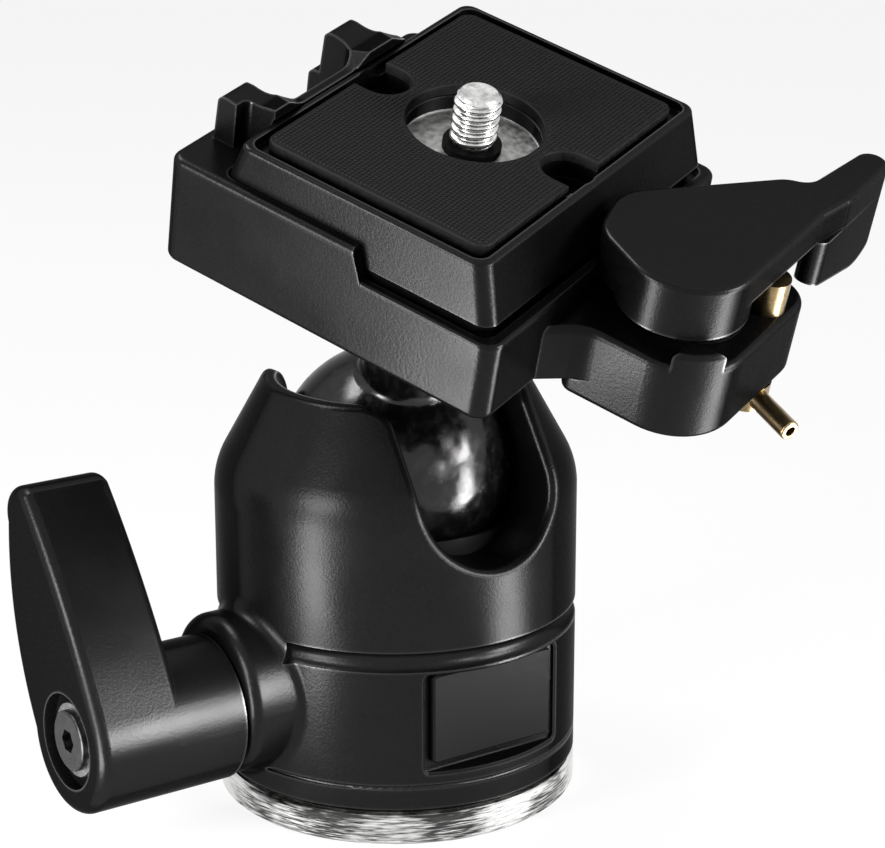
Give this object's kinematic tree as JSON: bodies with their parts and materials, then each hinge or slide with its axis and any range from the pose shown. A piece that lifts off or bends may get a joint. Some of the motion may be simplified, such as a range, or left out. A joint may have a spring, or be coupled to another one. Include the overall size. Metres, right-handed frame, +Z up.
{
  "type": "tripod ball head",
  "caption": "Tripod ball head: cast body with side notch and lock lever on a turned base disc, polished ball, tilted quick release clamp with cam lever, dovetail plate, pad and camera screw.",
  "frame": {"origin": "centre of the base disc's bottom face, at the mouth of the tripod thread", "axes": "+Z up along the pan axis, -Y towards the side notch and the badge seat, -X along the lock lever's axis away from the body"},
  "size_m": [0.1007, 0.0911, 0.1145],
  "materials": {
    "cast_black": "satin powder coat",
    "badge_dark": "smooth dark grey",
    "disc_bright": "turned",
    "steel": "bright",
    "washer_bright": "polished",
    "brass": "turned",
    "ball_black": "polished black",
    "rubber": "fine dotted",
    "nylon": "smooth",
    "ring_black": "smooth"
  },
  "bodies": {
    "base": {"base_disc": "disc_bright", "pan_washer": "nylon", "base_circlip": "steel"},
    "housing": {"housing": "cast_black", "badge_plate": "badge_dark", "bearing_plate": "steel", "clamp_bush": "brass"},
    "lock_lever": {"lock_lever": "cast_black", "lever_washer": "washer_bright", "lever_screw": "steel", "clamp_stud": "steel", "stud_clip": "steel"},
    "wedge": {"wedge_nut": "brass"},
    "shoe": {"brake_shoe": "brass"},
    "cup": {"ball_cup": "ring_black"},
    "liner": {"ball_liner": "ring_black"},
    "ball": {"ball": "ball_black"},
    "clamp": {"clamp_frame": "cast_black", "stem_bolt": "steel", "pivot_bolt": "steel", "release_spring": "steel", "camera_plate": "cast_black", "rubber_pad": "rubber", "screw_retainer": "ring_black"},
    "release": {"release_lever": "cast_black", "pivot_bush": "nylon"},
    "catch": {"safety_catch": "brass", "catch_collar": "brass", "catch_pin": "brass"},
    "screw": {"camera_screw": "steel"}
  },
  "joints": [
    {"name": "pan", "type": "hinge", "parent": "base", "child": "housing", "pos_m": [0, 0, 0], "axis": [0, 0, 1], "continuous": true},
    {"name": "lock_lever", "type": "hinge", "parent": "housing", "child": "lock_lever", "pos_m": [-0.04, 0, 0.018], "axis": [-1, 0, 0], "range_deg": [0, 75]},
    {"name": "wedge_slide", "type": "slide", "parent": "housing", "child": "wedge", "axis": [-1, 0, 0], "range_m": [0, 0.0007]},
    {"name": "shoe_lift", "type": "slide", "parent": "housing", "child": "shoe", "axis": [0, 0, 1], "range_m": [0, 0.0002]},
    {"name": "cup_drop", "type": "slide", "parent": "housing", "child": "cup", "axis": [0, 0, -1], "range_m": [0, 0.0002]},
    {"name": "ball_swing", "type": "hinge", "parent": "housing", "child": "liner", "pos_m": [0, 0, 0.049], "axis": [0, 0, 1], "continuous": true},
    {"name": "ball_tilt", "type": "hinge", "parent": "liner", "child": "ball", "pos_m": [0, 0, 0.049], "axis": [0.9532, -0.3024, 0], "range_deg": [-54, 6]},
    {"name": "clamp_spin", "type": "hinge", "parent": "ball", "child": "clamp", "pos_m": [0, 0, 0.049], "axis": [-0.123, -0.3877, 0.9135], "continuous": true},
    {"name": "release_lever", "type": "hinge", "parent": "clamp", "child": "release", "pos_m": [0.0099, -0.05413, 0.08428], "axis": [-0.123, -0.3877, 0.9135], "range_deg": [-60, 0], "stiffness_Nm_per_rad": 0.02, "springref_deg": 17.19},
    {"name": "safety_catch", "type": "hinge", "parent": "clamp", "child": "catch", "pos_m": [0.02091, -0.05457, 0.07682], "axis": [-0.123, -0.3877, 0.9135], "range_deg": [0, 70]},
    {"name": "screw_turn", "type": "hinge", "parent": "clamp", "child": "screw", "pos_m": [-0.00559, -0.02724, 0.10236], "axis": [-0.123, -0.3877, 0.9135], "continuous": true}
  ],
  "couplings": [
    {"joint": "wedge_slide", "follows": "lock_lever", "m_per_rad": 0.00047746},
    {"joint": "shoe_lift", "follows": "lock_lever", "m_per_rad": 0.00010149},
    {"joint": "cup_drop", "follows": "lock_lever", "m_per_rad": 0.00010149}
  ]
}
